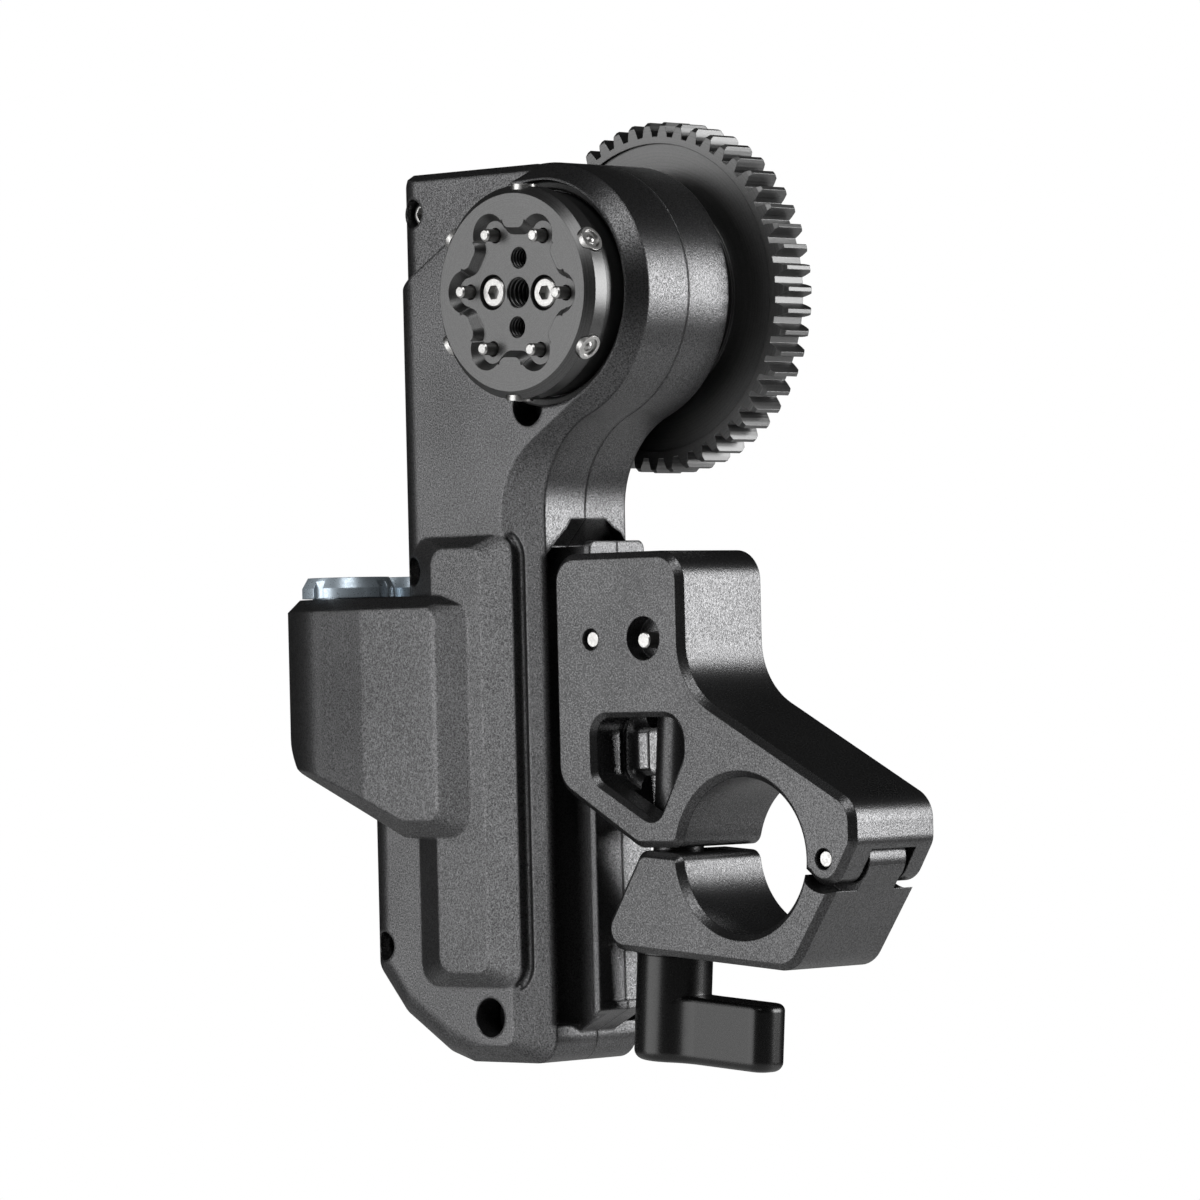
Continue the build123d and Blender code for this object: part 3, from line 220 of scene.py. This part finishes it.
for key, names in USE.items():
    for n in names:
        o = NODES[n]
        if not o.material_slots:
            o.data.materials.append(M[key])
        for s in o.material_slots:
            s.material = M[key]
        done.add(n)
assert done == set(NODES), set(NODES) - done


# ------------------------------------------------------------------ threads in the hub's three tapped holes
def helix(name, cx, cz, radius, y0, y1, pitch, wire):
    """A raised thread inside a bore along Y: a five-sided wire on a helix, with closed ends."""
    steps = 28
    n = int((y1 - y0) / pitch * steps)
    verts, faces = [], []
    for i in range(n + 1):
        t = 2 * math.pi * i / steps
        y = y0 + pitch * i / steps
        w = wire * min(1.0, 0.15 + i / steps, 0.15 + (n - i) / steps)
        for k in range(5):
            f = 2 * math.pi * k / 5
            r = radius + w * math.cos(f)
            verts.append(P(cx + r * math.cos(t), y + w * 1.1 * math.sin(f), cz + r * math.sin(t)))
    for i in range(n):
        for k in range(5):
            a, b = i * 5 + k, i * 5 + (k + 1) % 5
            faces.append((a, b, b + 5, a + 5))
    faces.append(tuple(range(5)))
    faces.append(tuple(n * 5 + k for k in reversed(range(5))))
    me = bpy.data.meshes.new(name)
    me.from_pydata([tuple(v) for v in verts], [], faces)
    me.update()
    o = bpy.data.objects.new(name, me)
    bpy.context.scene.collection.objects.link(o)
    import bmesh
    bm = bmesh.new()
    bm.from_mesh(me)
    bmesh.ops.recalc_face_normals(bm, faces=bm.faces)
    bm.to_mesh(me)
    bm.free()
    for poly in me.polygons:
        poly.use_smooth = True
    me.materials.append(M["hub"])
    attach(o, "drive")
    return o


TURN = -3.4
helix("thread_middle", 0.0, 0.0, 1.76, 1.35, 4.85, 0.7, 0.2)
for tag, ang in (("upper", TURN + 90), ("lower", TURN - 90)):
    helix("thread_" + tag, 4.1 * math.cos(math.radians(ang)), 4.1 * math.sin(math.radians(ang)), 1.24, 1.3, 4.25, 0.5, 0.15)

# ------------------------------------------------------------------ floor
bpy.ops.mesh.primitive_plane_add(size=3.0, location=(0, 0, -0.30))
floor = bpy.context.object
floor.name = "floor"
fm, fnt, fb = new_mat("floor_paper")
fco = coords(fnt)
fn = noise(fnt, fco, 300, 3.0, 0.5)
fnt.links.new(ramp(fnt, fn, [(0.3, (0.9, 0.9, 0.9, 1)), (0.7, (0.94, 0.94, 0.94, 1))]), fb.inputs["Base Color"])
fb.inputs["Roughness"].default_value = 0.8
floor.data.materials.append(fm)


# ------------------------------------------------------------------ lights and surroundings
def area(name, direction, dist, size, size_y, power, target=Vector((0, 0, 0)), colour=(1, 1, 1)):
    d = Vector(direction).normalized()
    ld = bpy.data.lights.new(name, "AREA")
    ld.shape = "RECTANGLE"
    ld.size = size
    ld.size_y = size_y
    ld.energy = power
    ld.color = colour
    o = bpy.data.objects.new(name, ld)
    bpy.context.scene.collection.objects.link(o)
    o.location = target + d * dist
    o.rotation_euler = d.to_track_quat("Z", "Y").to_euler()
    return o


CENTRE = Vector((-0.02, 0, 0.03))
def toward(az, el=0.0):
    a, e = math.radians(az), math.radians(el)
    return (math.cos(a) * math.cos(e), math.sin(a) * math.cos(e), math.sin(e))


area("key_front_left", toward(-116, 4), 0.95, 0.78, 0.80, 7.6, CENTRE)
area("strip_back_right", toward(41, 9), 0.75, 0.27, 0.44, 6.4, CENTRE)
area("high_front_fill", toward(-50, 50), 1.1, 0.5, 0.5, 5.0, CENTRE)
area("floor_wash", (-0.3, -0.3, 1.0), 1.5, 0.5, 0.5, 2.5, Vector((-0.6, -0.6, -0.3)))

world = bpy.data.worlds.new("studio")
bpy.context.scene.world = world
world.use_nodes = True
wt = world.node_tree
for n in list(wt.nodes):
    wt.nodes.remove(n)
wout = wt.nodes.new("ShaderNodeOutputWorld")
lp = wt.nodes.new("ShaderNodeLightPath")
white = wt.nodes.new("ShaderNodeBackground")
white.inputs[0].default_value = (1, 1, 1, 1)
white.inputs[1].default_value = 1.0
dim = wt.nodes.new("ShaderNodeBackground")
dim.inputs[0].default_value = (1, 1, 1, 1)
dim.inputs[1].default_value = 0.006
mixw = wt.nodes.new("ShaderNodeMixShader")
wt.links.new(lp.outputs["Is Camera Ray"], mixw.inputs[0])
wt.links.new(dim.outputs[0], mixw.inputs[1])
wt.links.new(white.outputs[0], mixw.inputs[2])
wt.links.new(mixw.outputs[0], wout.inputs[0])
bpy.context.scene.view_settings.view_transform = "Standard"

# ------------------------------------------------------------------ camera
AZ, EL, ROLL, TX, TY, DIST = 42.7220667, -0.553556161, -1.35645917, -10.4780064, 36.3016864, 754.798659
a, e, r = (math.radians(v) for v in (AZ, EL, ROLL))
right = Vector((math.cos(a), math.sin(a), 0))
back = Vector((math.sin(a) * math.cos(e), -math.cos(a) * math.cos(e), math.sin(e)))
up = back.cross(right)
r1 = right * math.cos(r) + up * math.sin(r)
u1 = -right * math.sin(r) + up * math.cos(r)
centre = -(r1 * TX + u1 * TY + back * (-DIST))
cam_data = bpy.data.cameras.new("camera")
cam_data.lens = 36.0 * 6399.57 / 1200
cam_data.sensor_width = 36.0
cam_data.sensor_fit = "HORIZONTAL"
cam_data.clip_start = 0.05
cam_data.clip_end = 50
cam = bpy.data.objects.new("camera", cam_data)
bpy.context.scene.collection.objects.link(cam)
rot = Matrix((r1, u1, back)).transposed().to_4x4()
cam.matrix_world = Matrix.Translation(P(*centre)) @ rot
bpy.context.scene.camera = cam
